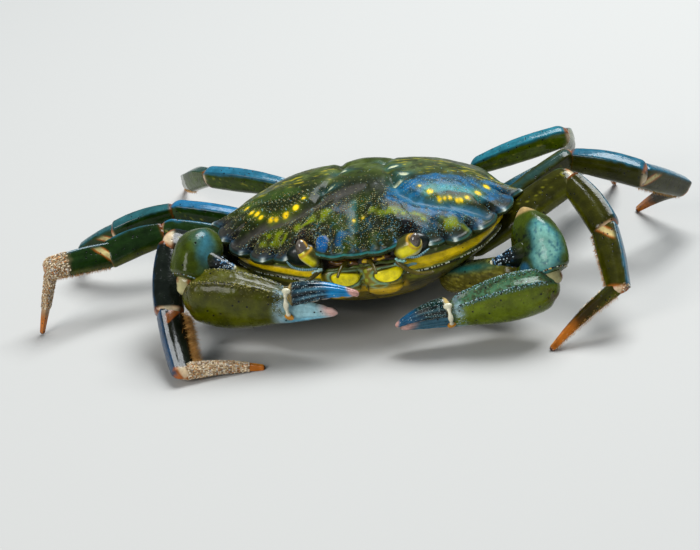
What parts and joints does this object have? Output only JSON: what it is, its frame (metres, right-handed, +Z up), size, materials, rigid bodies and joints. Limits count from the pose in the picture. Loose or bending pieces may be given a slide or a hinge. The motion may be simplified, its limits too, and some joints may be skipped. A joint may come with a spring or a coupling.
{
  "type": "shore crab model",
  "caption": "Life-size still model of a shore crab standing on its walking legs with both claws folded in front of its mouth.",
  "frame": {"origin": "on the floor, under the centre of the crab's bounding box", "axes": "+Z up, the crab faces -Y, +X towards the crab's own left side"},
  "size_m": [0.1356, 0.0994, 0.0273],
  "materials": {
    "back_shell": "wet dark green-black shell with blue and yellow-green patches, cream granules and yellow spots",
    "claw_shell": "wet olive shell with small black pits and a pale turquoise sheen on the wrist",
    "finger_shell": "wet blue-black shell, bright blue towards a pinkish tip",
    "leg_shell": "wet dark olive shell with a blue upper edge and cream joints",
    "under_shell": "satin yellow and olive shell",
    "eyestalk": "satin yellow-green",
    "cornea": "polished speckled grey-brown",
    "feeler": "satin amber-brown"
  },
  "bodies": {
    "root": {"abdomen": "under_shell", "antenna_l": "feeler", "antenna_r": "feeler", "antennule_l": "feeler", "antennule_r": "feeler", "carapace": "back_shell", "eye_l": "cornea", "eye_r": "cornea", "eyestalk_l": "eyestalk", "eyestalk_r": "eyestalk", "jaw_l": "under_shell", "jaw_r": "under_shell", "l1_arm": "claw_shell", "l1_finger": "finger_shell", "l1_palm": "claw_shell", "l1_wrist": "claw_shell", "l2_carpus": "leg_shell", "l2_dactylus": "leg_shell", "l2_merus": "leg_shell", "l2_propodus": "leg_shell", "l3_carpus": "leg_shell", "l3_dactylus": "leg_shell", "l3_merus": "leg_shell", "l3_propodus": "leg_shell", "l4_carpus": "leg_shell", "l4_dactylus": "leg_shell", "l4_merus": "leg_shell", "l4_propodus": "leg_shell", "l5_carpus": "leg_shell", "l5_dactylus": "leg_shell", "l5_merus": "leg_shell", "l5_propodus": "leg_shell", "r1_arm": "claw_shell", "r1_finger": "finger_shell", "r1_palm": "claw_shell", "r1_wrist": "claw_shell", "r2_carpus": "leg_shell", "r2_dactylus": "leg_shell", "r2_merus": "leg_shell", "r2_propodus": "leg_shell", "r3_carpus": "leg_shell", "r3_dactylus": "leg_shell", "r3_merus": "leg_shell", "r3_propodus": "leg_shell", "r4_carpus": "leg_shell", "r4_dactylus": "leg_shell", "r4_merus": "leg_shell", "r4_propodus": "leg_shell", "r5_carpus": "leg_shell", "r5_dactylus": "leg_shell", "r5_merus": "leg_shell", "r5_propodus": "leg_shell", "sternum": "under_shell", "trunk": "under_shell"}
  },
  "joints": []
}
